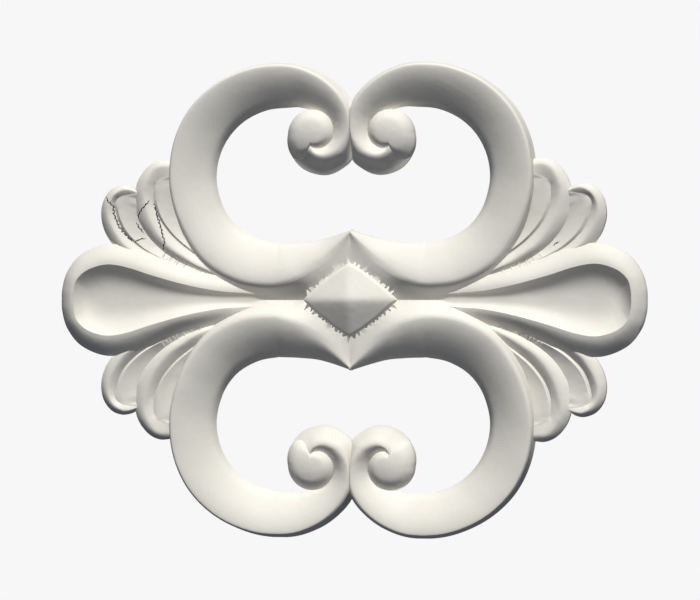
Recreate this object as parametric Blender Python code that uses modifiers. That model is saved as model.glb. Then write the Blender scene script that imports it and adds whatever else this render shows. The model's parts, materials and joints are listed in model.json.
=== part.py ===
"""Pierced ornamental rosette, cast in one piece in ivory-white plaster.

Four C-scrolls stand back to back about a raised diamond boss. A spoon-shaped lobe closes each side,
with two curved leaflets between each lobe and each scroll. The back is flat and lies on the plane Y = 0,
the front looks along -Y, X runs to the right and Z runs up. The origin is the centre of the back.

Every free form is given for the upper right quarter and mirrored to the other three. Its ribs run across
it, and a rib point is (X, Z, height above the back), in millimetres. Blender's unit is the metre.
"""

import bmesh
import bpy
from math import cos, pi, radians, sin
from mathutils import Matrix, Vector

MM = 0.001

# The back
BACK_WIDTH = 260.0
BACK_HEIGHT = 216.0
BACK_TRIM = 12.0
CAST_BEHIND = 3.0
CAST_STAGGER = 0.17

# The boss
BOSS_HALF_WIDTH = 19.7
BOSS_HALF_HEIGHT = 15.3
BOSS_WALL = 7.4
BOSS_APEX = 13.8
BOSS_ROUNDING = 0.6
BOSS_ROUNDING_SEGMENTS = 3
BOSS_SHARPEST_PLAIN_EDGE = 10.0

# The C-scroll. Across a form every span has a number of segments and a bow power
SCROLL_X = 28.5
SCROLL_Z = 52.1
SCROLL_CREST = 10.2
SCROLL_WALL = 2.4
SCROLL_SKIRT = 2.4
SCROLL_ROOT = 3.0
SCROLL_ROOT_BELOW = -20
SHOULDER_WIDTH = 2.0
SHOULDER_DROP = 0.9
SHOULDER_SHARE = 0.5
CUSP_Z = 28.9
CUSP_EDGE_DROP = 0.8
SCROLL_STEPS = 2
SCROLL_SEGMENTS = (5, 1, 1)
SCROLL_BOWS = (1.9, 1.0, 1.0)

# The volute's eye
EYE_X = 16.1
EYE_Z = 68.2
EYE_RADIUS = 10.1
EYE_WALL = 5.2
EYE_TOP = 10.6
EYE_SIDES = 22
EYE_RINGS = 4

# The lobe
LOBE_REACH = 121.5
LOBE_CREST = 10.4
LOBE_FLOOR = 4.8
LOBE_ROOT = 2.4
LOBE_STEPS = 2
LOBE_SEGMENTS = (3, 4, 4, 3)
LOBE_BOWS = (1.7, -2.7, -2.7, 1.7)

# The leaflets
LEAF_END = 3.8
LEAF_EDGE = 4.4
LEAF_ROLL = 6.8
LEAF_VALLEY = 4.7
LEAF_TONGUE = 5.7
LEAF_VALLEY_FROM = 2
LEAF_VALLEY_FULL = 5
LEAF_STEP = 0.12
LEAF_SEGMENTS = (3, 3, 1, 1)
LEAF_BOWS = (1.9, 1.9, 1.0, 1.0)

# Rib angle, then the radii of the inner edge, the crest and the outer edge, all about the scroll's centre
RING_RIBS = (
    (-84, 28.5, 46.5, 52.8),
    (-68, 28.9, 47.1, 52.6),
    (-50, 29.3, 46.5, 51.2),
    (-33, 29.1, 45.7, 49.6),
    (-16, 28.6, 45.5, 48.2),
    (0, 28.4, 45.6, 47.7),
    (18, 28.0, 45.7, 47.6),
    (36, 27.7, 45.6, 47.5),
    (55, 27.4, 45.0, 46.8),
    (75, 27.2, 44.2, 46.2),
    (94, 27.3, 43.5, 45.7),
)

# The scroll's tail, from the cusp to the ring: inner edge, crest, valley, the crest's drop below the
# scroll's crest, and the valley's height
TAIL_RIBS = (
    ((-0.3, CUSP_Z), (-0.3, 28.2), (-0.6, 27.0), 2.2, 6.7),
    ((12.0, 25.2), (9.3, 18.4), (-0.6, 12.0), 1.9, 5.6),
    ((21.5, 24.0), (17.1, 12.0), (6.0, -0.6), 0.9, 4.4),
    ((29.3, 23.7), (25.1, 7.9), (21.0, -0.6), 0.0, 3.2),
)

# The volute, from the ring round the eye. The groove is an angle about the eye, a lap into it and a
# height. The crest is a place and a drop below the scroll's crest, the skirt a place and a height
VOLUTE_RIBS = (
    ((66, -2.1, 2.6), (14.8, 92.0, 0.0), (13.5, 94.0, 2.4)),
    ((109, 0.8, 3.9), (6.8, 86.0, 0.1), (4.7, 87.6, 2.4)),
    ((143, 0.8, 4.0), (1.9, 78.8, 0.3), (-0.5, 80.4, 2.4)),
    ((170, 0.8, 4.0), (0.5, 72.6, 0.5), (-0.6, 73.0, 2.9)),
    ((197, 0.9, 4.0), (1.4, 66.6, 0.7), (-0.6, 64.8, 2.6)),
    ((222, 1.1, 4.2), (4.4, 61.6, 0.8), (0.1, 58.1, 2.4)),
    ((240, 1.3, 4.8), (7.8, 59.0, 0.9), (3.5, 54.6, 2.4)),
    ((254, 1.7, 5.6), (11.2, 58.2, 1.0), (8.9, 51.8, 2.4)),
    ((266, 2.6, 6.8), (14.4, 59.0, 1.1), (14.5, 51.7, 2.4)),
    ((280, 4.4, 8.0), (17.4, 60.9, 1.4), (20.4, 54.1, 2.4)),
    ((310, 6.6, 8.5), (20.8, 63.6, 2.0), (24.5, 58.6, 2.6)),
    ((340, 7.0, 8.5), (23.0, 66.6, 2.6), (26.2, 63.7, 3.6)),
    ((10, 7.0, 8.5), (23.8, 69.6, 2.9), (26.2, 68.8, 4.8)),
)

# The lobe from its round end to the boss: outer edge with its height, crest, and place on the spine
LOBE_RIBS = (
    ((LOBE_REACH, 0.0, 6.6), (115.6, 0.0), 107.0),
    ((121.2, 5.1, 6.6), (115.3, 4.1), 106.8),
    ((119.0, 12.0, 6.6), (113.8, 8.7), 106.2),
    ((113.1, 19.0, 6.5), (109.1, 12.6), 104.8),
    ((102.6, 23.1, 6.3), (101.4, 14.7), 101.0),
    ((91.0, 21.6, 5.9), (92.8, 13.5), 93.5),
    ((79.0, 17.4, 5.2), (82.0, 10.1), 83.0),
    ((66.4, 13.2, 4.6), (68.1, 6.3), 69.0),
    ((54.6, 10.0, 4.0), (55.2, 3.8), 56.0),
    ((43.0, 7.0, 3.6), (44.0, 2.9), 44.0),
    ((24.0, 2.6, 2.2), (24.0, 1.2), 24.0),
)
LOBE_FADE_FROM = 8

# The leaflet beside the scroll, from its tip: outer edge, roll, valley and root
INNER_LEAF_RIBS = (
    ((74.4, 57.3), (74.4, 54.7), (74.4, 52.0), (74.4, 50.4)),
    ((79.9, 57.8), (79.4, 54.9), (80.3, 49.7), (72.5, 50.0)),
    ((84.6, 55.7), (82.7, 53.1), (81.5, 48.5), (72.3, 48.0)),
    ((88.7, 50.8), (85.2, 49.2), (82.4, 46.9), (72.3, 46.0)),
    ((90.6, 45.0), (86.5, 44.7), (82.6, 43.1), (72.0, 43.0)),
    ((90.4, 39.0), (85.9, 39.7), (82.2, 39.0), (71.0, 39.0)),
    ((88.9, 32.8), (84.3, 34.3), (80.1, 33.6), (70.0, 34.5)),
    ((84.9, 26.3), (81.0, 28.1), (76.5, 28.4), (67.5, 31.0)),
    ((79.5, 20.8), (76.0, 22.3), (72.3, 24.2), (65.5, 28.0)),
    ((72.2, 15.9), (69.4, 17.8), (67.6, 20.5), (62.0, 25.0)),
    ((64.0, 12.2), (62.3, 13.6), (61.1, 16.0), (57.5, 20.0)),
    ((55.0, 8.8), (54.2, 10.2), (53.4, 11.6), (51.5, 14.925)),
)

# The leaflet beside the lobe, in the same order
OUTER_LEAF_RIBS = (
    ((89.7, 45.1), (89.4, 44.6), (89.1, 44.1), (88.5, 43.1)),
    ((92.5, 47.0), (92.9, 45.5), (94.5, 43.4), (88.3, 41.8)),
    ((96.1, 47.6), (95.5, 45.5), (96.2, 43.0), (88.1, 40.4)),
    ((100.4, 46.0), (98.6, 43.9), (98.0, 41.9), (87.9, 39.0)),
    ((103.6, 42.1), (100.7, 41.0), (99.1, 39.8), (87.5, 37.4)),
    ((104.9, 37.3), (101.6, 37.1), (98.8, 36.9), (86.9, 35.2)),
    ((104.6, 32.1), (100.9, 32.9), (97.7, 33.0), (85.7, 32.4)),
    ((102.4, 26.4), (98.6, 28.2), (95.5, 28.6), (83.2, 29.4)),
    ((97.9, 21.0), (94.9, 23.0), (92.0, 24.7), (80.5, 26.0)),
    ((90.0, 16.2), (88.7, 18.8), (86.6, 20.5), (76.5, 22.2)),
    ((78.7, 12.2), (77.9, 14.0), (77.4, 15.8), (70.5, 18.6)),
    ((67.0, 9.2), (66.4, 10.7), (65.8, 12.2), (64.5, 15.45)),
)

IVORY = (0.80, 0.78, 0.72, 1.0)
PLASTER_ROUGHNESS = 0.62


def clear_scene():
    for old in list(bpy.data.objects):
        bpy.data.objects.remove(old, do_unlink=True)


def new_collection(name):
    collection = bpy.data.collections.new(name)
    bpy.context.scene.collection.children.link(collection)
    return collection


def plaster():
    """Return the ivory plaster that the whole piece is cast in."""
    material = bpy.data.materials.new("ivory_plaster")
    material.use_nodes = True
    shader = material.node_tree.nodes["Principled BSDF"]
    shader.inputs["Base Color"].default_value = IVORY
    shader.inputs["Roughness"].default_value = PLASTER_ROUGHNESS
    shader.inputs["Metallic"].default_value = 0.0
    return material


def spline(before, start, end, after, share):
    """Return the point at a share of the way from start to end on a Catmull-Rom curve."""
    square = share * share
    cube = square * share
    return 0.5 * (
        2.0 * start
        + (end - before) * share
        + (2.0 * before - 5.0 * start + 4.0 * end - after) * square
        + (3.0 * start - before - 3.0 * end + after) * cube
    )


def smooth_ribs(ribs, steps):
    """Return the ribs with steps - 1 more between each pair, on smooth curves along the form."""
    last = len(ribs) - 1
    filled = []
    for index in range(last):
        around = [ribs[max(index - 1, 0)], ribs[index], ribs[index + 1], ribs[min(index + 2, last)]]
        for step in range(steps):
            filled.append([spline(*points, step / steps) for points in zip(*around)])
    filled.append(list(ribs[last]))
    return filled


def bowed_span(start, end, pieces, power):
    """Return the points after start up to end. The surface bows out below the higher of the two.

    A power of 1 is a straight slope, over 1 is convex, and under 0 is as hollow as it is big.
    """
    points = []
    for piece in range(1, pieces + 1):
        share = piece / pieces
        point = start.lerp(end, share)
        fallen = share if start.z > end.z else 1.0 - share
        drop = fallen ** power if power > 0.0 else 1.0 - (1.0 - fallen) ** -power
        point.z = max(start.z, end.z) - abs(start.z - end.z) * drop
        points.append(point)
    return points


def section(rib, segments, bows):
    """Return a rib's surface points, with the segments and the bow power of each of its spans."""
    points = [rib[0].copy()]
    for start, end, pieces, power in zip(rib, rib[1:], segments, bows):
        points += bowed_span(start, end, pieces, power)
    return points


def cast_form(name, ribs, segments, bows, mirror, collection, closed_start=False):
    """Build one closed solid from its ribs and return its object.

    Closed_start is for ribs that fold back on themselves at the first one, so that it needs no cap.
    """
    side, level = mirror
    mesh = bmesh.new()
    rings = []
    back = (CAST_BEHIND + CAST_STAGGER * len(collection.objects)) * MM
    for rib in ribs:
        points = section(rib, segments, bows)
        front = [mesh.verts.new((side * p.x * MM, -p.z * MM, level * p.y * MM)) for p in points]
        ends = (points[-1], points[0])
        behind = [mesh.verts.new((side * p.x * MM, back, level * p.y * MM)) for p in ends]
        rings.append(front + behind)
    count = len(rings[0])
    for ring, following in zip(rings, rings[1:]):
        for index in range(count):
            after = (index + 1) % count
            mesh.faces.new((ring[index], ring[after], following[after], following[index]))
    if not closed_start:
        mesh.faces.new(rings[0])
    mesh.faces.new(rings[-1])
    bmesh.ops.remove_doubles(mesh, verts=mesh.verts, dist=0.00001)
    bmesh.ops.dissolve_degenerate(mesh, edges=mesh.edges, dist=0.00001)
    bmesh.ops.recalc_face_normals(mesh, faces=mesh.faces)
    data = bpy.data.meshes.new(name)
    mesh.to_mesh(data)
    mesh.free()
    form = bpy.data.objects.new(name, data)
    form.hide_render = True
    form.display_type = "WIRE"
    collection.objects.link(form)
    return form


def scroll_ribs():
    """Return the C-scroll's ribs, from the cusp over the boss to the end of its volute."""
    ribs = []
    for number, (*places, drop, valley_height) in enumerate(TAIL_RIBS):
        crest_height = SCROLL_CREST - drop
        edge_height = SCROLL_WALL if number else crest_height - CUSP_EDGE_DROP
        heights = (edge_height, crest_height, valley_height)
        ribs.append([Vector((*place, height)) for place, height in zip(places, heights)])
    for angle, *radii in RING_RIBS:
        turn = radians(angle)
        foot = SCROLL_ROOT if angle < SCROLL_ROOT_BELOW else SCROLL_SKIRT
        rib = []
        for radius, height in zip(radii, (SCROLL_WALL, SCROLL_CREST, foot)):
            rib.append(Vector((SCROLL_X + radius * cos(turn), SCROLL_Z + radius * sin(turn), height)))
        ribs.append(rib)
    for (angle, lap, height), crest, skirt in VOLUTE_RIBS:
        turn = radians(angle)
        reach = EYE_RADIUS - lap
        groove = (EYE_X + reach * cos(turn), EYE_Z + reach * sin(turn), height)
        crest_x, crest_z, drop = crest
        ribs.append([Vector(groove), Vector((crest_x, crest_z, SCROLL_CREST - drop)), Vector(skirt)])
    for rib in ribs:
        crest, valley = rib[1], rib[2]
        flank = (valley.xy - crest.xy).length
        share = min(SHOULDER_SHARE, SHOULDER_WIDTH / flank)
        shoulder = crest.lerp(valley, share)
        shoulder.z = crest.z - min(SHOULDER_DROP, SHOULDER_SHARE * share * (crest.z - valley.z))
        rib.insert(2, shoulder)
    return smooth_ribs(ribs, SCROLL_STEPS)


def lobe_ribs():
    """Return the lobe's ribs, each from the upper edge over the channel to the lower edge."""
    ribs = []
    last = len(LOBE_RIBS) - 1
    for number, (edge, crest, spine) in enumerate(LOBE_RIBS):
        fade = max(0.0, (number - LOBE_FADE_FROM + 1) / (last - LOBE_FADE_FROM + 1))
        crest_height = LOBE_CREST + (LOBE_ROOT - LOBE_CREST) * fade
        floor_height = LOBE_FLOOR + (LOBE_ROOT - LOBE_FLOOR) * fade
        upper = [Vector(edge), Vector((*crest, crest_height))]
        lower = [Vector((point.x, -point.y, point.z)) for point in reversed(upper)]
        ribs.append(upper + [Vector((spine, 0.0, floor_height))] + lower)
    return smooth_ribs(ribs, LOBE_STEPS)


def leaf_ribs(places):
    """Return a leaflet's ribs: its edge, roll, valley, the step up to its tongue, and its root.

    The valley sinks below the tongue only past the tip. Both ends are low, under the neighbouring form.
    """
    ribs = []
    for number, (edge, roll, valley, root) in enumerate(places):
        sunk = (number - LEAF_VALLEY_FROM) / (LEAF_VALLEY_FULL - LEAF_VALLEY_FROM)
        valley_height = LEAF_TONGUE + (LEAF_VALLEY - LEAF_TONGUE) * max(0.0, min(1.0, sunk))
        heights = (LEAF_EDGE, LEAF_ROLL, valley_height, LEAF_TONGUE, LEAF_TONGUE)
        if number in (0, len(places) - 1):
            heights = (LEAF_END,) * len(heights)
        lip = Vector(valley).lerp(Vector(root), LEAF_STEP)
        across = (edge, roll, valley, lip, root)
        ribs.append([Vector((*place, height)) for place, height in zip(across, heights)])
    return ribs


def eye(name, mirror, collection):
    """Build the volute's eye, a turned button with a domed top, and return its object."""
    side, level = mirror
    outline = [(0.0, EYE_TOP)]
    for ring in range(1, EYE_RINGS + 1):
        turn = 0.5 * pi * ring / EYE_RINGS
        outline.append((EYE_RADIUS * sin(turn), EYE_WALL + (EYE_TOP - EYE_WALL) * cos(turn)))
    back = CAST_BEHIND + CAST_STAGGER * len(collection.objects)
    outline += [(EYE_RADIUS, -back), (0.0, -back)]
    data = bpy.data.meshes.new(name)
    points = [(radius * MM, 0.0, height * MM) for radius, height in outline]
    data.from_pydata(points, [(index, index + 1) for index in range(len(points) - 1)], [])
    button = bpy.data.objects.new(name, data)
    button.location = (side * EYE_X * MM, 0.0, level * EYE_Z * MM)
    button.rotation_euler = (pi / 2, 0.0, 0.0)
    button.hide_render = True
    button.display_type = "WIRE"
    turning = button.modifiers.new("turning", "SCREW")
    turning.steps = EYE_SIDES
    turning.render_steps = EYE_SIDES
    turning.use_merge_vertices = True
    turning.merge_threshold = 0.00001
    collection.objects.link(button)
    return button


def boss(material, collection):
    """Build the raised diamond: a low wall, and four faces that rise to the apex."""
    mesh = bmesh.new()
    corners = ((BOSS_HALF_WIDTH, 0.0), (0.0, BOSS_HALF_HEIGHT), (-BOSS_HALF_WIDTH, 0.0), (0.0, -BOSS_HALF_HEIGHT))
    behind = [mesh.verts.new((x * MM, CAST_BEHIND * MM, z * MM)) for x, z in corners]
    girdle = [mesh.verts.new((x * MM, -BOSS_WALL * MM, z * MM)) for x, z in corners]
    apex = mesh.verts.new((0.0, -BOSS_APEX * MM, 0.0))
    mesh.faces.new(behind)
    for index in range(4):
        after = (index + 1) % 4
        mesh.faces.new((behind[index], behind[after], girdle[after], girdle[index]))
        mesh.faces.new((girdle[index], girdle[after], apex))
    bmesh.ops.recalc_face_normals(mesh, faces=mesh.faces)
    data = bpy.data.meshes.new("rosette")
    mesh.to_mesh(data)
    mesh.free()
    diamond = bpy.data.objects.new("rosette", data)
    diamond.data.materials.append(material)
    rounding = diamond.modifiers.new("softened ridges", "BEVEL")
    rounding.width = BOSS_ROUNDING * MM
    rounding.segments = BOSS_ROUNDING_SEGMENTS
    rounding.limit_method = "ANGLE"
    rounding.angle_limit = radians(BOSS_SHARPEST_PLAIN_EDGE)
    collection.objects.link(diamond)
    return diamond


def back_trimmer(collection):
    """Build the block that leaves the back flat, on Y = 0, and return its object."""
    mesh = bmesh.new()
    size = Matrix.Diagonal((BACK_WIDTH * MM, BACK_TRIM * MM, BACK_HEIGHT * MM, 1.0))
    place = Matrix.Translation((0.0, 0.5 * BACK_TRIM * MM, 0.0))
    bmesh.ops.create_cube(mesh, size=1.0, matrix=place @ size)
    data = bpy.data.meshes.new("back_trimmer")
    mesh.to_mesh(data)
    mesh.free()
    block = bpy.data.objects.new("back_trimmer", data)
    block.hide_render = True
    block.display_type = "WIRE"
    collection.objects.link(block)
    return block


def build():
    clear_scene()
    visible = new_collection("rectangular_rosette")
    forms = new_collection("cast_forms")
    cutters = new_collection("cutters")
    for side, side_name in ((1, "right"), (-1, "left")):
        cast_form("lobe_" + side_name, lobe_ribs(), LOBE_SEGMENTS, LOBE_BOWS, (side, 1), forms, True)
        for level, level_name in ((1, "upper"), (-1, "lower")):
            where = level_name + "_" + side_name
            mirror = (side, level)
            cast_form("scroll_" + where, scroll_ribs(), SCROLL_SEGMENTS, SCROLL_BOWS, mirror, forms)
            for leaf, places in (("inner_leaf_", INNER_LEAF_RIBS), ("outer_leaf_", OUTER_LEAF_RIBS)):
                cast_form(leaf + where, leaf_ribs(places), LEAF_SEGMENTS, LEAF_BOWS, mirror, forms)
            eye("eye_" + where, mirror, forms)
    rosette = boss(plaster(), visible)
    joining = rosette.modifiers.new("cast as one", "BOOLEAN")
    joining.operation = "UNION"
    joining.solver = "EXACT"
    joining.operand_type = "COLLECTION"
    joining.collection = forms
    flattening = rosette.modifiers.new("flat back", "BOOLEAN")
    flattening.operation = "DIFFERENCE"
    flattening.solver = "EXACT"
    flattening.object = back_trimmer(cutters)


build()
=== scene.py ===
import json
from math import atan2, cos, pi, radians, sin

import bmesh
import bpy
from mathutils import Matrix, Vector, noise
from mathutils.bvhtree import BVHTree

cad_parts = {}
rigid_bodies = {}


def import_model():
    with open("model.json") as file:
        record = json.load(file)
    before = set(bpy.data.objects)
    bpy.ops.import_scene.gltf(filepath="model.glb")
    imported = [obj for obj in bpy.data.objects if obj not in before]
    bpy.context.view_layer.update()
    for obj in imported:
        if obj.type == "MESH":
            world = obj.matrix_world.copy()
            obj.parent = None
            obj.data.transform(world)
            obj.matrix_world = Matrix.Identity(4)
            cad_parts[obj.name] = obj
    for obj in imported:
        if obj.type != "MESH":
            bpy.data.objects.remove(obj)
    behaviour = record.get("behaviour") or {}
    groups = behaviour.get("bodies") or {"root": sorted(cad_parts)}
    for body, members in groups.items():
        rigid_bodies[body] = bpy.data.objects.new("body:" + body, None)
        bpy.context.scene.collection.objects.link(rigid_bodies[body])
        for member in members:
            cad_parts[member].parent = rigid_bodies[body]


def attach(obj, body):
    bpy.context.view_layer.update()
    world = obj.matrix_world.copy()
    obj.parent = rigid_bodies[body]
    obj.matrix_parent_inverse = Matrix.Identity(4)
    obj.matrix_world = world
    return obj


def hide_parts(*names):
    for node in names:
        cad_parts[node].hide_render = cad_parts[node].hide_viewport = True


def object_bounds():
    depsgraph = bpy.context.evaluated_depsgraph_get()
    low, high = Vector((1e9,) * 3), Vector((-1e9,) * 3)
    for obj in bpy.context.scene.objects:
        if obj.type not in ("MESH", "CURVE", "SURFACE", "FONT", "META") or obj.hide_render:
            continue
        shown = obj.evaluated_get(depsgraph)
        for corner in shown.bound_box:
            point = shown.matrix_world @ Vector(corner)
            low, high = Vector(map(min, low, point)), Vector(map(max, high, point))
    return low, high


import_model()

cad_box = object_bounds()

# The four C-scrolls. Each is a broad band of cast plaster, high at its outer crest and falling to the
# opening. It starts at the cusp over the boss, runs round the opening and ends in a volute. A rib runs
# across the upper right scroll, in millimetres, and the other three are mirrored from it.
MM = 0.001
SCROLL_X = 28.5
SCROLL_Z = 52.1
SCROLL_CREST = 10.3
SCROLL_WALL = 2.4
SCROLL_SKIRT = 2.4
SCROLL_ROOT = 3.0
ROOT_UNTIL = -20
CUSP_EDGE_DROP = 0.8
SCROLL_STEPS = 8

# The shoulder beside the crest, which is never wider or steeper than a part of the whole flank
SHOULDER_WIDTH = 2.2
SHOULDER_DROP = 0.9
SHOULDER_WIDEST = 0.5
SHOULDER_STEEPEST = 0.5

# The spans of a rib, each as its number of pieces, the power of its bow and the roll of its low end
SCROLL_SPANS = ((18, 1.7, 2.4), (5, 1.9), (5, -1.5))
ROLL_FROM = 0.8
ROLL_POWER = 3

# The tail, from the cusp to the ring: inner edge, crest, valley, the crest's drop, the valley's height
TAIL_RIBS = (
    ((-0.3, 28.9), (-0.3, 28.2), (-0.6, 27.0), 2.9, 6.5),
    ((12.0, 25.2), (9.3, 18.8), (-0.6, 12.0), 2.4, 5.9),
    ((21.5, 24.0), (17.1, 12.9), (6.0, -0.6), 1.3, 4.2),
    ((29.3, 23.7), (25.1, 9.0), (21.0, -0.6), 0.1, 3.2),
)

# The ring: rib angle, then the radii of the inner edge, the crest and the outer edge
RING_RIBS = (
    (-84, 28.5, 44.9, 52.8),
    (-68, 28.9, 46.2, 52.6),
    (-50, 29.3, 46.7, 51.2),
    (-33, 29.1, 45.7, 49.6),
    (-16, 28.6, 45.5, 48.2),
    (0, 28.4, 45.6, 47.7),
    (18, 28.0, 45.7, 47.6),
    (36, 27.7, 45.6, 47.5),
    (55, 27.4, 45.0, 46.8),
    (75, 27.2, 44.2, 46.2),
    (94, 27.3, 43.5, 45.7),
)

# The volute, round the middle of its eye. The groove is an angle about the eye, a reach and a height. The
# crest and the skirt are places with heights
EYE_X = 16.1
EYE_Z = 68.2
VOLUTE_RIBS = (
    ((66, 12.2, 2.6), (14.8, 92.0, 10.2), (13.5, 94.0, 2.4)),
    ((109, 9.3, 3.9), (6.8, 86.0, 10.1), (4.7, 87.6, 2.4)),
    ((143, 8.7, 4.0), (1.9, 78.8, 9.9), (-0.5, 80.4, 2.4)),
    ((170, 8.2, 4.0), (0.5, 72.6, 9.7), (-0.6, 73.0, 2.9)),
    ((197, 7.4, 4.0), (1.4, 66.8, 9.5), (-0.6, 64.8, 2.6)),
    ((222, 6.5, 4.2), (4.4, 62.2, 9.4), (0.1, 58.1, 2.4)),
    ((240, 5.9, 4.6), (7.9, 59.9, 9.3), (3.5, 54.6, 2.4)),
    ((254, 5.2, 5.2), (11.5, 59.2, 9.2), (8.9, 51.8, 2.4)),
    ((266, 4.4, 6.2), (14.7, 60.3, 9.1), (14.5, 51.7, 2.4)),
    ((280, 3.0, 7.5), (17.0, 62.6, 8.8), (20.4, 54.1, 2.4)),
    ((310, 3.5, 7.4), (20.8, 63.6, 7.6), (24.5, 58.6, 2.6)),
    ((340, 3.1, 7.0), (23.0, 66.6, 7.0), (26.2, 63.7, 3.6)),
    ((10, 3.1, 6.5), (23.8, 69.6, 6.5), (26.2, 68.8, 4.0)),
)

# How uneven casting and hand finishing left the plaster: what came off on the whole, then a broad and a
# fine wave, each as its depth, its waves per millimetre and where it is taken from the noise
WEAR = 0.12
BROAD_WEAR = (0.09, 0.10, 3.0)
FINE_WEAR = (0.04, 0.45, 9.0)

# Every shape is a blank that runs in behind the flat back, and the blanks are joined at the end. Scrolls,
# eyes, lobes and leaflets each run a little deeper than the one before. Points of theirs that are nearer
# than MERGE_DISTANCE, in metres, become one
BACK_START = 3.0
BACK_STAGGER = 0.17
MERGE_DISTANCE = 0.00001

blanks = bpy.data.collections.new("blanks")
bpy.context.scene.collection.children.link(blanks)


def spline(before, start, end, after, share):
    """Return the point at a share of the way from start to end on a Catmull-Rom curve."""
    square = share * share
    cube = square * share
    return 0.5 * (
        2.0 * start
        + (end - before) * share
        + (2.0 * before - 5.0 * start + 4.0 * end - after) * square
        + (3.0 * start - before - 3.0 * end + after) * cube
    )


def smooth_ribs(ribs, steps):
    """Return the ribs with steps - 1 more between each pair, on smooth curves along the shape."""
    last = len(ribs) - 1
    filled = []
    for index in range(last):
        around = [ribs[max(index - 1, 0)], ribs[index], ribs[index + 1], ribs[min(index + 2, last)]]
        for step in range(steps):
            filled.append([spline(*points, step / steps) for points in zip(*around)])
    filled.append(list(ribs[last]))
    return filled


def bowed_span(start, end, pieces, power, roll=0.0):
    """Return the points after start up to end, bowed out below the higher of the two.

    A power under 0 is as hollow as it is big. Roll is how far the low end is rounded down.
    """
    points = []
    for piece in range(1, pieces + 1):
        share = piece / pieces
        point = start.lerp(end, share)
        fallen = share if start.z > end.z else 1.0 - share
        drop = fallen ** power if power > 0.0 else 1.0 - (1.0 - fallen) ** -power
        point.z = max(start.z, end.z) - abs(start.z - end.z) * drop
        point.z -= roll * max(0.0, (fallen - ROLL_FROM) / (1.0 - ROLL_FROM)) ** ROLL_POWER
        points.append(point)
    return points


def rib_points(rib, spans):
    """Return a rib's surface points. Each span is the arguments of one bowed span."""
    first = spans[0]
    points = [rib[0].copy()]
    points[0].z -= first[2] if len(first) > 2 else 0.0
    for start, end, span in zip(rib, rib[1:], spans):
        points += bowed_span(start, end, *span)
    return points


def worn(x, z):
    """Return what casting and hand finishing took off a surface at a place."""
    taken = WEAR
    for depth, waves, slice_at in (BROAD_WEAR, FINE_WEAR):
        taken += depth * noise.noise(Vector((x * waves, z * waves, slice_at)))
    return taken


def add_point(mesh, x, z, height):
    """Add a point at a height above the flat back, and return it."""
    return mesh.verts.new((x * MM, -height * MM, z * MM))


def back_depth():
    """Return how far the next blank runs in behind the flat back."""
    return BACK_START + BACK_STAGGER * len(blanks.objects)


def closed_object(name, mesh):
    """Return an object with a closed mesh, its faces turned outwards."""
    bmesh.ops.recalc_face_normals(mesh, faces=mesh.faces)
    data = bpy.data.meshes.new(name)
    mesh.to_mesh(data)
    mesh.free()
    return bpy.data.objects.new(name, data)


def skin_tube(mesh, rings):
    """Skin the stretch between each ring of points and the next."""
    count = len(rings[0])
    for ring, following in zip(rings, rings[1:]):
        for index in range(count):
            after = (index + 1) % count
            mesh.faces.new((ring[index], ring[after], following[after], following[index]))


def cast_shape(name, ribs, spans, mirror, closed_start=False):
    """Make one blank from its ribs. Closed_start is for a first rib folded back on itself."""
    side, level = mirror
    mesh = bmesh.new()
    rings = []
    for rib in ribs:
        points = rib_points(rib, spans)
        ring = []
        for point in points:
            x, z = side * point.x, level * point.y
            ring.append(add_point(mesh, x, z, point.z - worn(x, z)))
        for point in (points[-1], points[0]):
            ring.append(add_point(mesh, side * point.x, level * point.y, -back_depth()))
        rings.append(ring)
    skin_tube(mesh, rings)
    if not closed_start:
        mesh.faces.new(rings[0])
    mesh.faces.new(rings[-1])
    bmesh.ops.remove_doubles(mesh, verts=mesh.verts, dist=MERGE_DISTANCE)
    bmesh.ops.dissolve_degenerate(mesh, edges=mesh.edges, dist=MERGE_DISTANCE)
    blanks.objects.link(closed_object(name, mesh))


scroll_ribs = []
for number, (*tail_places, drop, valley_height) in enumerate(TAIL_RIBS):
    crest_height = SCROLL_CREST - drop
    edge_height = SCROLL_WALL if number else crest_height - CUSP_EDGE_DROP
    heights = (edge_height, crest_height, valley_height)
    scroll_ribs.append([Vector((*spot, height)) for spot, height in zip(tail_places, heights)])
for angle, *radii in RING_RIBS:
    turn = radians(angle)
    foot = SCROLL_ROOT if angle < ROOT_UNTIL else SCROLL_SKIRT
    rib = []
    for radius, height in zip(radii, (SCROLL_WALL, SCROLL_CREST, foot)):
        rib.append(Vector((SCROLL_X + radius * cos(turn), SCROLL_Z + radius * sin(turn), height)))
    scroll_ribs.append(rib)
for (angle, reach, height), crest, skirt in VOLUTE_RIBS:
    turn = radians(angle)
    groove = (EYE_X + reach * cos(turn), EYE_Z + reach * sin(turn), height)
    scroll_ribs.append([Vector(groove), Vector(crest), Vector(skirt)])
for rib in scroll_ribs:
    crest, valley = rib[1], rib[2]
    flank = (valley.xy - crest.xy).length
    share = min(SHOULDER_WIDEST, SHOULDER_WIDTH / flank)
    shoulder = crest.lerp(valley, share)
    shoulder.z = crest.z - min(SHOULDER_DROP, SHOULDER_STEEPEST * share * (crest.z - valley.z))
    rib.insert(2, shoulder)
scroll_ribs = smooth_ribs(scroll_ribs, SCROLL_STEPS)

# Each quarter of the rosette: the way it lies in X and in Z, and its name
QUARTERS = ((1, 1, "upper_right"), (-1, 1, "upper_left"), (1, -1, "lower_right"), (-1, -1, "lower_left"))
for side, level, where in QUARTERS:
    cast_shape("scroll_" + where, scroll_ribs, SCROLL_SPANS, (side, level))


# The four eyes. Each is a low domed plaster button, which the volute winds round and into. Its edge draws
# in with the volute, and stands out again beyond the volute's tip, where the eye runs down to the outline.
EYE_WALL = 3.6
EYE_TOP = 10.5
EYE_SIDES = 72
EYE_RINGS = 14
EYE_START = -80

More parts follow.
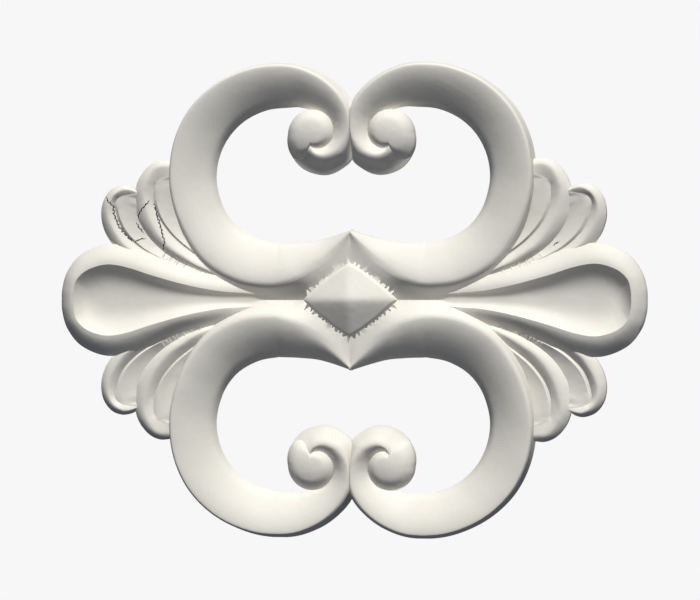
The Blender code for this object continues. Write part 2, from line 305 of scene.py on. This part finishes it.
# The crown falls by EYE_FALL at EYE_FALL_AT from the middle. The roll takes up the outer part of the reach
EYE_FALL = 2.4
EYE_FALL_AT = 10.0
EYE_ROLL = 0.45

# The eye's edge, from the volute's tip round to it: an angle about the middle and the reach there
EYE_EDGE = (
    (-80, 8.8), (-70, 10.8), (-60, 12.1), (-50, 12.6), (-35, 11.9), (-20, 11.1),
    (0, 10.2), (30, 10.1), (100, 10.1), (130, 9.9), (160, 9.5), (190, 8.9),
    (220, 8.0), (245, 7.2), (265, 6.4), (272, 5.9), (280, 8.8),
)


def eye_reach(angle):
    """Return how far the eye's edge stands from its middle, at an angle in degrees."""
    for (before, near), (after, far) in zip(EYE_EDGE, EYE_EDGE[1:]):
        if angle <= after:
            return near + (far - near) * (angle - before) / (after - before)
    return EYE_EDGE[0][1]


def skin_dome(mesh, apex, rings):
    """Skin a dome from its apex out over its rings, and close it with the last one."""
    count = len(rings[0])
    for step in range(count):
        after = (step + 1) % count
        mesh.faces.new((apex, rings[0][step], rings[0][after]))
        for ring, outside in zip(rings, rings[1:]):
            mesh.faces.new((ring[step], outside[step], outside[after], ring[after]))
    mesh.faces.new(rings[-1])


for side, level, where in QUARTERS:
    mesh = bmesh.new()
    middle_x, middle_z = side * EYE_X, level * EYE_Z
    apex = add_point(mesh, middle_x, middle_z, EYE_TOP - worn(middle_x, middle_z))
    rings = []
    for number in range(1, EYE_RINGS + 2):
        out_share = sin(0.5 * pi * min(number, EYE_RINGS) / EYE_RINGS)
        rolled = min(1.0, max(0.0, out_share - 1.0 + EYE_ROLL) / EYE_ROLL)
        ring = []
        for step in range(EYE_SIDES):
            angle = EYE_START + 360.0 * step / EYE_SIDES
            reach = eye_reach(angle) * out_share
            x = middle_x + side * reach * cos(radians(angle))
            z = middle_z + level * reach * sin(radians(angle))
            crown = EYE_TOP - EYE_FALL * (reach / EYE_FALL_AT) ** 2
            height = EYE_WALL + (crown - EYE_WALL) * (1.0 - rolled * rolled) ** 0.5 - worn(x, z)
            ring.append(add_point(mesh, x, z, height if number <= EYE_RINGS else -back_depth()))
        rings.append(ring)
    skin_dome(mesh, apex, rings)
    blanks.objects.link(closed_object("eye_" + where, mesh))


# The two side lobes. Each is a plaster spoon with a raised round rim and a hollow channel that runs in
# under the boss.
LOBE_CREST = 10.4
LOBE_FLOOR = 4.8
LOBE_ROOT = 2.4
LOBE_STEPS = 8
LOBE_SPANS = ((7, 1.8), (12, -3.0), (12, -3.0), (7, 1.8))

# The rib up to which the rim and the floor keep their heights, before they sink to the root
LOBE_LEVEL_UNTIL = 7

# From the round end to the boss: outer edge with its height, crest, and place on the spine
LOBE_RIBS = (
    ((121.5, 0.0, 5.6), (115.6, 0.0), 107.0),
    ((121.2, 5.1, 5.6), (115.3, 4.1), 106.8),
    ((119.0, 12.0, 5.7), (113.8, 8.7), 106.2),
    ((113.1, 19.0, 5.8), (109.1, 12.6), 104.8),
    ((102.6, 23.1, 5.8), (101.4, 14.7), 101.0),
    ((91.0, 21.6, 5.9), (92.8, 13.5), 93.5),
    ((79.0, 17.4, 5.2), (82.0, 10.1), 83.0),
    ((66.4, 13.2, 4.6), (68.1, 6.3), 69.0),
    ((54.6, 10.0, 4.0), (55.2, 3.8), 56.0),
    ((43.0, 7.0, 3.6), (44.0, 2.9), 44.0),
    ((24.0, 2.6, 2.2), (24.0, 1.2), 24.0),
)


def share_between(number, start, full):
    """Return how far a number has come from start to full, from 0 to 1."""
    return max(0.0, min(1.0, (number - start) / (full - start)))


lobe_ribs = []
for number, (edge, crest, spine) in enumerate(LOBE_RIBS):
    sunk = share_between(number, LOBE_LEVEL_UNTIL, len(LOBE_RIBS) - 1)
    crest_height = LOBE_CREST + (LOBE_ROOT - LOBE_CREST) * sunk
    floor_height = LOBE_FLOOR + (LOBE_ROOT - LOBE_FLOOR) * sunk
    upper = [Vector(edge), Vector((*crest, crest_height))]
    lower = [Vector((point.x, -point.y, point.z)) for point in reversed(upper)]
    lobe_ribs.append(upper + [Vector((spine, 0.0, floor_height))] + lower)
lobe_ribs = smooth_ribs(lobe_ribs, LOBE_STEPS)
for side, where in ((1, "right"), (-1, "left")):
    cast_shape("lobe_" + where, lobe_ribs, LOBE_SPANS, (side, 1), closed_start=True)


# The eight leaflets, two in each quarter, cast in plaster. Each has a rolled outer edge, a valley and a
# flat tongue that tucks under the scroll or the next leaflet.
LEAF_START = 5.5
LEAF_END = 3.8
LEAF_EDGE = 4.4
LEAF_ROLL = 6.8
LEAF_VALLEY = 4.7
LEAF_TONGUE = 5.6
LEAF_ROOT = 4.8
LEAF_ROOT_LOW = 2.7
LEAF_STEPS = 7
LEAF_SPANS = ((7, 1.9), (8, 1.4), (2, 1.0), (5, 1.0))

# The lip stands this share of the way from the valley to the root
LEAF_LIP = 0.12

# The ribs between which the valley sinks, comes up again, and the root sinks
LEAF_VALLEY_SINKS = (2, 5)
LEAF_VALLEY_RISES = (11, 9)
LEAF_ROOT_SINKS = (3, 8)

# Near the tip the roll is lower by a drop for each rib before this one
LEAF_TIP_DROP = 0.25
LEAF_TIP_UNTIL = 3

# The leaflet beside the scroll, from its tip: outer edge, roll, valley and root
INNER_LEAF_RIBS = (
    ((74.4, 57.3), (74.4, 54.7), (74.4, 52.0), (74.4, 50.4)),
    ((79.9, 57.8), (79.4, 54.9), (80.3, 49.7), (72.5, 50.0)),
    ((84.6, 55.7), (82.7, 53.1), (81.5, 48.5), (72.3, 48.0)),
    ((88.7, 50.8), (85.2, 49.2), (82.4, 46.9), (72.3, 46.0)),
    ((90.6, 45.0), (86.5, 44.7), (82.6, 43.1), (72.0, 43.0)),
    ((90.4, 39.0), (85.9, 39.7), (82.2, 39.0), (71.0, 39.0)),
    ((88.9, 32.8), (84.3, 34.3), (80.1, 33.6), (70.0, 34.5)),
    ((84.9, 26.3), (81.0, 28.1), (76.5, 28.4), (67.5, 31.0)),
    ((79.5, 20.8), (76.0, 22.3), (72.3, 24.2), (65.5, 28.0)),
    ((72.2, 15.9), (69.4, 17.8), (67.6, 20.5), (62.0, 25.0)),
    ((64.0, 12.2), (62.3, 13.6), (61.1, 16.0), (57.5, 20.0)),
    ((55.0, 8.8), (54.2, 10.2), (53.4, 11.6), (51.5, 14.925)),
)

# The leaflet beside the lobe, in the same order
OUTER_LEAF_RIBS = (
    ((89.7, 45.1), (89.4, 44.6), (89.1, 44.1), (88.5, 43.1)),
    ((92.5, 47.0), (92.9, 45.5), (94.5, 43.4), (88.3, 41.8)),
    ((96.1, 47.6), (95.5, 45.5), (96.2, 43.0), (88.1, 40.4)),
    ((100.4, 46.0), (98.6, 43.9), (98.0, 41.9), (87.9, 39.0)),
    ((103.6, 42.1), (100.7, 41.0), (99.1, 39.8), (87.5, 37.4)),
    ((104.9, 37.3), (101.6, 37.1), (98.8, 36.9), (86.9, 35.2)),
    ((104.6, 32.1), (100.9, 32.9), (97.7, 33.0), (85.7, 32.4)),
    ((102.4, 26.4), (98.6, 28.2), (95.5, 28.6), (83.2, 29.4)),
    ((97.9, 21.0), (94.9, 23.0), (92.0, 24.7), (80.5, 26.0)),
    ((90.0, 16.2), (88.7, 18.8), (86.6, 20.5), (76.5, 22.2)),
    ((78.7, 12.2), (77.9, 14.0), (77.4, 15.8), (70.5, 18.6)),
    ((67.0, 9.2), (66.4, 10.7), (65.8, 12.2), (64.5, 15.45)),
)

for leaf, places in (("inner_leaf_", INNER_LEAF_RIBS), ("outer_leaf_", OUTER_LEAF_RIBS)):
    leaf_ribs = []
    for number, (edge, roll, valley, root) in enumerate(places):
        sunk = min(share_between(number, *LEAF_VALLEY_SINKS), share_between(number, *LEAF_VALLEY_RISES))
        valley_height = LEAF_TONGUE + (LEAF_VALLEY - LEAF_TONGUE) * sunk
        root_height = LEAF_ROOT + (LEAF_ROOT_LOW - LEAF_ROOT) * share_between(number, *LEAF_ROOT_SINKS)
        roll_height = LEAF_ROLL - LEAF_TIP_DROP * max(0, LEAF_TIP_UNTIL - number)
        heights = (LEAF_EDGE, roll_height, valley_height, LEAF_TONGUE, root_height)
        if number == 0:
            heights = (LEAF_EDGE, LEAF_START, LEAF_START, LEAF_START, LEAF_START)
        if number == len(places) - 1:
            heights = (LEAF_END, LEAF_END, LEAF_END, LEAF_END, LEAF_ROOT_LOW)
        lip = Vector(valley).lerp(Vector(root), LEAF_LIP)
        across = (edge, roll, valley, lip, root)
        leaf_ribs.append([Vector((*spot, height)) for spot, height in zip(across, heights)])
    leaf_ribs = smooth_ribs(leaf_ribs, LEAF_STEPS)
    for side, level, where in QUARTERS:
        cast_shape(leaf + where, leaf_ribs, LEAF_SPANS, (side, level))


# The ragged joints between the leaflets and the lobes. The wet plaster of each lobe was dragged up over
# the leaflet's edge and stands there as a row of small flat teeth.
JOINT_TOP = 6.0
JOINT_TIP = 5.4

# A tooth's length varies by this share, as a sine with its beat along the row
JOINT_UNEVEN = 0.3
JOINT_BEAT = 3.0

# A tooth: the place of its foot on the lobe, the way it points in degrees up from the way to the boss, its
# length and its width
JOINT_TEETH = (
    (78.6, 18.0, 60, 1.5, 1.0), (77.0, 17.0, 35, 1.1, 0.8), (75.6, 16.2, 75, 1.8, 1.0),
    (74.0, 15.4, 50, 1.3, 1.1), (72.6, 14.8, 80, 1.9, 0.9), (71.4, 14.2, 55, 1.2, 0.8),
    (69.9, 13.6, 65, 1.7, 1.2), (68.3, 13.0, 40, 1.1, 0.9), (66.7, 12.3, 70, 1.5, 1.0),
    (65.0, 11.7, 55, 1.0, 0.8), (63.2, 11.1, 65, 1.3, 1.1), (61.2, 10.5, 60, 0.9, 0.9),
)

# How far a tooth starts behind its foot, and how far past BACK_START it runs in
TOOTH_SINK = 0.5
TOOTH_BACK = 2.0


def add_tooth(mesh, foot, out, length, width, top, tip_height):
    """Add one closed wedge that starts behind its foot and falls to a point in front of it."""
    along = Vector((-out.y, out.x)) * 0.5 * width
    start = foot - out * TOOTH_SINK
    corners = ((start - along, top), (start + along, top), (foot + out * length, tip_height))
    fronts = [add_point(mesh, corner.x, corner.y, height) for corner, height in corners]
    backs = [add_point(mesh, corner.x, corner.y, -BACK_START - TOOTH_BACK) for corner, height in corners]
    mesh.faces.new(fronts)
    mesh.faces.new(backs[::-1])
    skin_tube(mesh, (backs, fronts))


mesh = bmesh.new()
for side, level, where in QUARTERS:
    for number, (x, z, angle, length, width) in enumerate(JOINT_TEETH):
        uneven = 1.0 + JOINT_UNEVEN * sin(JOINT_BEAT * number + side + 2 * level)
        turn = pi - radians(angle)
        out = Vector((side * cos(turn), level * sin(turn)))
        add_tooth(mesh, Vector((side * x, level * z)), out, length * uneven, width, JOINT_TOP, JOINT_TIP)
blanks.objects.link(closed_object("joint_teeth", mesh))


# The boss. A low diamond wall carries four plaster faces that rise to one apex, over soft ridges. Where the
# wall was pressed into the scrolls, the plaster squeezed out in a ragged fringe of small teeth.
BOSS_HALF_WIDTH = 19.3
BOSS_HALF_HEIGHT = 15.2
BOSS_FULLNESS = 1.12
BOSS_WALL = 7.9
BOSS_APEX = 13.6
BOSS_SOFTNESS = 1.5
BOSS_STEEPNESS = 1.03
BOSS_RINGS = 22
BOSS_RING_SPREAD = 0.8
BOSS_SIDES = 96

# The rim is rounded down from this share of the way out, by this much at the edge
BOSS_RIM_FROM = 0.93
BOSS_RIM = 1.0


def diamond(angle):
    """Return the boss's outline at an angle: a diamond whose sides are a little full."""
    across, up = cos(angle), sin(angle)
    power = BOSS_FULLNESS
    fullness = abs(across / BOSS_HALF_WIDTH) ** power + abs(up / BOSS_HALF_HEIGHT) ** power
    reach = fullness ** (-1.0 / power)
    return Vector((reach * across, reach * up))


def soft_distance(length):
    """Return a distance from a ridge, rounded where it is near 0."""
    return (length * length + BOSS_SOFTNESS ** 2) ** 0.5 - BOSS_SOFTNESS


def boss_height(x, z):
    """Return the height of the boss's four faces, with the ridges between them and the rim rounded."""
    out_share = soft_distance(x) / BOSS_HALF_WIDTH + soft_distance(z) / BOSS_HALF_HEIGHT
    reach = Vector((x, z)).length / diamond(atan2(z, x)).length
    rolled = BOSS_RIM * max(0.0, (reach - BOSS_RIM_FROM) / (1.0 - BOSS_RIM_FROM)) ** 2
    return BOSS_APEX - (BOSS_APEX - BOSS_WALL) * min(1.0, BOSS_STEEPNESS * out_share) - rolled


mesh = bmesh.new()
apex = add_point(mesh, 0.0, 0.0, BOSS_APEX - worn(0.0, 0.0))
rings = []
for number in range(1, BOSS_RINGS + 2):
    ring = []
    for step in range(BOSS_SIDES):
        spot = diamond(2.0 * pi * step / BOSS_SIDES) * min(1.0, number / BOSS_RINGS) ** BOSS_RING_SPREAD
        height = boss_height(spot.x, spot.y) - worn(spot.x, spot.y)
        ring.append(add_point(mesh, spot.x, spot.y, height if number <= BOSS_RINGS else -BACK_START))
    rings.append(ring)
skin_dome(mesh, apex, rings)
casting = closed_object("rosette_casting", mesh)
bpy.context.scene.collection.objects.link(casting)

# A tooth of the fringe: its angle about the apex, its length and its width
FRINGE = (
    (9, 1.5, 1.0), (15, 2.1, 1.1), (23, 1.9, 2.0), (31, 2.6, 1.2), (38, 3.2, 2.3), (47, 1.4, 1.6),
    (56, 1.3, 1.0), (66, 2.9, 1.5), (76, 1.9, 1.6), (83, 1.6, 1.2), (92, 2.0, 1.4), (100, 2.0, 1.3),
    (112, 3.6, 3.2), (122, 1.6, 1.2), (129, 2.0, 1.5), (137, 1.5, 1.6), (145, 2.4, 1.6), (150, 1.7, 2.2),
    (158, 1.2, 1.2), (165, 2.3, 1.5), (172, 1.7, 1.3), (187, 2.2, 1.2), (193, 1.4, 0.9), (199, 2.6, 1.4),
    (208, 1.5, 1.5), (215, 1.8, 1.1), (222, 1.2, 1.2), (229, 3.5, 1.7), (237, 1.3, 1.0), (245, 2.2, 1.5),
    (253, 1.2, 1.0), (261, 1.7, 1.5), (268, 2.4, 1.1), (276, 1.6, 1.7), (284, 2.0, 1.3), (293, 3.4, 2.0),
    (302, 1.2, 1.0), (310, 1.9, 1.3), (318, 1.3, 1.4), (326, 1.9, 1.0), (333, 1.2, 1.3), (340, 2.1, 1.2),
    (347, 1.4, 1.1), (353, 2.0, 1.3),
)

# The whole fringe is this much longer and wider than its table. Each tooth leans a little along the wall,
# as a sine with its beat round the fringe
FRINGE_LONGER = 1.5
FRINGE_WIDER = 1.3
FRINGE_LEAN = 0.35
FRINGE_BEAT = 2.4
FRINGE_BELOW_WALL = 0.5
FRINGE_TIP = 5.6

mesh = bmesh.new()
for number, (angle, length, width) in enumerate(FRINGE):
    foot = diamond(radians(angle))
    along = (diamond(radians(angle + 1)) - diamond(radians(angle - 1))).normalized()
    out = (Vector((along.y, -along.x)) + along * FRINGE_LEAN * sin(FRINGE_BEAT * number)).normalized()
    length, width = FRINGE_LONGER * length, FRINGE_WIDER * width
    add_tooth(mesh, foot, out, length, width, BOSS_WALL - FRINGE_BELOW_WALL, FRINGE_TIP)
blanks.objects.link(closed_object("fringe", mesh))


# The casting itself: every blank joined into one plaster piece, which is cut off flat at the back and is
# glued or pinned there. It is ivory-white and matt, with old cracks in its leaflets.
BACK_BLOCK = Vector((280.0, 12.0, 240.0)) * MM


def settle_modifiers(item):
    """Put the result of an object's modifiers in its mesh."""
    graph = bpy.context.evaluated_depsgraph_get()
    settled = bpy.data.meshes.new_from_object(item.evaluated_get(graph), depsgraph=graph)
    item.modifiers.clear()
    item.data = settled


mesh = bmesh.new()
bmesh.ops.create_cube(mesh, size=1.0)
for vertex in mesh.verts:
    vertex.co = vertex.co * BACK_BLOCK + Vector((0.0, 0.5 * BACK_BLOCK.y, 0.0))
back_block = closed_object("back_block", mesh)
bpy.context.scene.collection.objects.link(back_block)

joining = casting.modifiers.new("joined", "BOOLEAN")
joining.operation = "UNION"
joining.solver = "EXACT"
joining.operand_type = "COLLECTION"
joining.collection = blanks
flattening = casting.modifiers.new("flat_back", "BOOLEAN")
flattening.operation = "DIFFERENCE"
flattening.solver = "EXACT"
flattening.object = back_block
settle_modifiers(casting)
for blank in list(blanks.objects) + [back_block]:
    bpy.data.objects.remove(blank, do_unlink=True)
bpy.data.collections.remove(blanks)

# The plaster's two tones with the position of each in the mottle, the painted shade that darkens the
# hollows and leaves open faces as they are, and the fine grain, whose depth is in metres
PLASTER_DARK = (0.30, (0.635, 0.620, 0.575, 1.0))
PLASTER_LIGHT = (0.70, (0.680, 0.666, 0.625, 1.0))
HOLLOW_SHADE = (0.40, (0.0, 0.0, 0.0, 1.0))
OPEN_FACE = (0.50, (1.0, 1.0, 1.0, 1.0))
HOLLOW_SHADE_SHARE = 0.25
MOTTLE_SCALE = 38.0
MOTTLE_DETAIL = 6.0
GRAIN_SCALE = 520.0
GRAIN_DETAIL = 4.0
GRAIN_STRENGTH = 0.25
GRAIN_DEPTH = 0.0002
SMOOTHEST = 0.52
ROUGHEST = 0.72
PLASTER_GLOSS = 0.25

plaster = bpy.data.materials.new("ivory_plaster_cast")
plaster.use_nodes = True
nodes = plaster.node_tree.nodes
links = plaster.node_tree.links
shader = nodes["Principled BSDF"]
shader.inputs["Specular IOR Level"].default_value = PLASTER_GLOSS
coordinates = nodes.new("ShaderNodeTexCoord")
relief = nodes.new("ShaderNodeNewGeometry")


def plaster_noise(scale, detail):
    """Return a noise texture that is fixed to the casting."""
    texture = nodes.new("ShaderNodeTexNoise")
    texture.inputs["Scale"].default_value = scale
    texture.inputs["Detail"].default_value = detail
    links.new(coordinates.outputs["Object"], texture.inputs["Vector"])
    return texture


def plaster_ramp(value, *stops):
    """Return a ramp that turns a value into colours, with its two stops as positions and colours."""
    ramp = nodes.new("ShaderNodeValToRGB")
    for element, (position, colour) in zip(ramp.color_ramp.elements, stops):
        element.position = position
        element.color = colour
    links.new(value, ramp.inputs["Fac"])
    return ramp


mottle = plaster_noise(MOTTLE_SCALE, MOTTLE_DETAIL)
tone = plaster_ramp(mottle.outputs["Fac"], PLASTER_DARK, PLASTER_LIGHT)
# Painted shade: the hollows, found by the mesh's pointiness, are darkened by a share of this ramp
hollow_shade_ramp = plaster_ramp(relief.outputs["Pointiness"], HOLLOW_SHADE, OPEN_FACE)
hollow_shaded = nodes.new("ShaderNodeMix")
hollow_shaded.data_type = "RGBA"
hollow_shaded.blend_type = "MULTIPLY"
hollow_shaded.inputs["Factor"].default_value = HOLLOW_SHADE_SHARE
links.new(tone.outputs["Color"], hollow_shaded.inputs["A"])
links.new(hollow_shade_ramp.outputs["Color"], hollow_shaded.inputs["B"])
links.new(hollow_shaded.outputs["Result"], shader.inputs["Base Color"])
grain = plaster_noise(GRAIN_SCALE, GRAIN_DETAIL)
bump = nodes.new("ShaderNodeBump")
bump.inputs["Strength"].default_value = GRAIN_STRENGTH
bump.inputs["Distance"].default_value = GRAIN_DEPTH
links.new(grain.outputs["Fac"], bump.inputs["Height"])
links.new(bump.outputs["Normal"], shader.inputs["Normal"])
polish = nodes.new("ShaderNodeMapRange")
polish.inputs["To Min"].default_value = SMOOTHEST
polish.inputs["To Max"].default_value = ROUGHEST
links.new(mottle.outputs["Fac"], polish.inputs["Value"])
links.new(polish.outputs["Result"], shader.inputs["Roughness"])
casting.data.materials.clear()
casting.data.materials.append(plaster)

# Painted shade: a near-black material that lines the cracks and stands in for the shade inside them
CRACK_SHADE = (0.10, 0.10, 0.10, 1.0)
CRACK_SHADE_ROUGHNESS = 0.9

crack_shade = bpy.data.materials.new("painted_shade_in_cracks")
crack_shade.use_nodes = True
crack_shade_shader = crack_shade.node_tree.nodes["Principled BSDF"]
crack_shade_shader.inputs["Base Color"].default_value = CRACK_SHADE
crack_shade_shader.inputs["Roughness"].default_value = CRACK_SHADE_ROUGHNESS

# The cracks in the leaflets, each a line of places (X, Z). They are cut as thin wedges that follow the
# surface, in short pieces that jog from side to side, and are lined with a near-black material that paints
# the shade inside them
CRACKS = (
    (
        (-102.7, 43.1), (-101.6, 40.6), (-99.6, 39.2), (-99.1, 35.2),
        (-97.3, 30.7), (-94.7, 27.4), (-91.4, 23.8),
    ),
    ((-90.9, 23.9), (-88.4, 25.1), (-86.0, 25.5)),
    ((-84.0, 41.2), (-86.0, 39.0), (-87.5, 37.5), (-88.9, 35.4), (-89.3, 33.6)),
    ((-89.9, 32.3), (-89.2, 30.3), (-86.7, 27.6)),
    ((-82.5, 40.2), (-80.9, 34.5), (-79.5, 30.7), (-78.7, 27.6), (-77.6, 24.0), (-78.7, 20.3)),
    ((83.1, 22.2), (86.0, 24.0)),
)
CRACK_WIDTH = 0.55
CRACK_DEPTH = 0.9
CRACK_PIECE = 0.7

# The jog and the width change along a crack as sines, each with its beat
CRACK_JOG = 0.28
CRACK_JOG_BEAT = 4.1
CRACK_UNEVEN = 0.4
CRACK_WIDTH_BEAT = 2.7

# A crack narrows over TAPER_PIECES at each end, counted from a tip TAPER_START of a piece further out. At
# that tip it would keep CRACK_END_DEPTH of its depth
TAPER_PIECES = 2
TAPER_START = 0.4
CRACK_END_DEPTH = 0.4

# How far a wedge stands above the surface, and the height from which the surface is felt for
CRACK_ABOVE = 1.0
FEEL_FROM = 30.0


def crack_path(crack):
    """Return a crack's line with its jogs."""
    path = []
    for start, end in zip(crack, crack[1:]):
        start, end = Vector(start), Vector(end)
        pieces = max(2, round((end - start).length / CRACK_PIECE))
        across = Vector((start.y - end.y, end.x - start.x)).normalized()
        for piece in range(pieces):
            jog = CRACK_JOG * sin(CRACK_JOG_BEAT * len(path)) if piece else 0.0
            path.append(start.lerp(end, piece / pieces) + across * jog)
    path.append(Vector(crack[-1]))
    return path


uncracked = BVHTree.FromObject(casting, bpy.context.evaluated_depsgraph_get())
mesh = bmesh.new()
for crack in CRACKS:
    path = crack_path(crack)
    last = len(path) - 1
    rings = []
    for number, spot in enumerate(path):
        ahead = path[min(number + 1, last)] - path[max(number - 1, 0)]
        across = Vector((-ahead.y, ahead.x)).normalized()
        taper = min(1.0, (min(number, last - number) + TAPER_START) / TAPER_PIECES)
        reach = CRACK_WIDTH * taper * (1.0 + CRACK_UNEVEN * sin(CRACK_WIDTH_BEAT * number))
        hit = uncracked.ray_cast(Vector((spot.x, -FEEL_FROM, spot.y)) * MM, Vector((0.0, 1.0, 0.0)))
        surface_height = -hit[0].y / MM
        bottom = surface_height - CRACK_DEPTH * (CRACK_END_DEPTH + (1.0 - CRACK_END_DEPTH) * taper)
        top = surface_height + CRACK_ABOVE
        corners = ((spot - across * reach, top), (spot + across * reach, top), (spot, bottom))
        rings.append([add_point(mesh, corner.x, corner.y, height) for corner, height in corners])
    skin_tube(mesh, rings)
    mesh.faces.new(rings[0])
    mesh.faces.new(rings[-1])
cracks = closed_object("cracks", mesh)
cracks.data.materials.append(crack_shade)
bpy.context.scene.collection.objects.link(cracks)
cracking = casting.modifiers.new("cracks", "BOOLEAN")
cracking.operation = "DIFFERENCE"
cracking.solver = "EXACT"
cracking.material_mode = "TRANSFER"
cracking.object = cracks
settle_modifiers(casting)
bpy.data.objects.remove(cracks, do_unlink=True)

# The casting keeps within the piece's own box, and is smooth but for its sharp edges
SHARP_ANGLE = 38

low, high = cad_box
for vertex in casting.data.vertices:
    vertex.co.x = min(max(vertex.co.x, low.x), high.x)
    vertex.co.y = min(max(vertex.co.y, low.y), high.y)
    vertex.co.z = min(max(vertex.co.z, low.z), high.z)
casting.data.polygons.foreach_set("use_smooth", [True] * len(casting.data.polygons))
casting.data.set_sharp_from_angle(angle=radians(SHARP_ANGLE))

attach(casting, "root")
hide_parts("rosette")


# The floor, a plain pale disc, far enough below the hung piece to throw nothing onto it. Its height and
# radius are in metres.
FLOOR_Z = -0.5
FLOOR_RADIUS = 40.0
FLOOR_SIDES = 64
PALE = (0.930, 0.930, 0.930, 1.0)

mesh = bmesh.new()
bmesh.ops.create_circle(mesh, cap_ends=True, segments=FLOOR_SIDES, radius=FLOOR_RADIUS)
data = bpy.data.meshes.new("floor")
mesh.to_mesh(data)
mesh.free()
floor = bpy.data.objects.new("floor", data)
floor.location = (0.0, 0.0, FLOOR_Z)
floor.visible_diffuse = False
floor.visible_glossy = False
bpy.context.scene.collection.objects.link(floor)
paint = bpy.data.materials.new("pale_floor")
paint.use_nodes = True
paint.node_tree.nodes.clear()
glow = paint.node_tree.nodes.new("ShaderNodeEmission")
glow.inputs["Color"].default_value = PALE
paint_output = paint.node_tree.nodes.new("ShaderNodeOutputMaterial")
paint.node_tree.links.new(glow.outputs["Emission"], paint_output.inputs["Surface"])
data.materials.append(paint)


# The light: a warm key from above and in front that throws no shadow, and a cool even fill from all sides.
# The backdrop is as pale as the floor.
KEY_FROM = Vector((0.194, -0.509, 0.838))
KEY_STRENGTH = 4.6
KEY_COLOUR = (1.0, 0.982, 0.935)
KEY_WIDTH = 20
FILL_COLOUR = (0.106, 0.114, 0.138, 1.0)

key = bpy.data.lights.new("key", "SUN")
key.energy = KEY_STRENGTH
key.color = KEY_COLOUR
key.angle = radians(KEY_WIDTH)
key.use_shadow = False
lamp = bpy.data.objects.new("key", key)
lamp.rotation_euler = KEY_FROM.to_track_quat("Z", "Y").to_euler()
bpy.context.scene.collection.objects.link(lamp)

world = bpy.data.worlds.new("studio")
world.use_nodes = True
bpy.context.scene.world = world
studio = world.node_tree
studio.nodes.clear()
fill = studio.nodes.new("ShaderNodeBackground")
fill.inputs["Color"].default_value = FILL_COLOUR
backdrop = studio.nodes.new("ShaderNodeBackground")
backdrop.inputs["Color"].default_value = PALE
light_path = studio.nodes.new("ShaderNodeLightPath")
either = studio.nodes.new("ShaderNodeMixShader")
studio.links.new(light_path.outputs["Is Camera Ray"], either.inputs["Fac"])
studio.links.new(fill.outputs["Background"], either.inputs[1])
studio.links.new(backdrop.outputs["Background"], either.inputs[2])
studio_output = studio.nodes.new("ShaderNodeOutputWorld")
studio.links.new(either.outputs["Shader"], studio_output.inputs["Surface"])
bpy.context.scene.view_settings.view_transform = "Standard"


# The camera, level with the piece and a little to its right. The view is VIEW_WIDTH metres wide where the
# piece hangs.
CAMERA_AZIMUTH = 9.0
CAMERA_DISTANCE = 1.45
VIEW_WIDTH = 0.287
SENSOR_WIDTH = 36.0
TARGET = Vector((0.0, -0.0066, 0.0))

turn = radians(CAMERA_AZIMUTH)
camera = bpy.data.objects.new("camera", bpy.data.cameras.new("camera"))
camera.location = TARGET + CAMERA_DISTANCE * Vector((sin(turn), -cos(turn), 0.0))
camera.rotation_euler = (TARGET - camera.location).to_track_quat("-Z", "Y").to_euler()
camera.data.sensor_fit = "HORIZONTAL"
camera.data.sensor_width = SENSOR_WIDTH
camera.data.lens = SENSOR_WIDTH * CAMERA_DISTANCE / VIEW_WIDTH
bpy.context.scene.collection.objects.link(camera)
bpy.context.scene.camera = camera
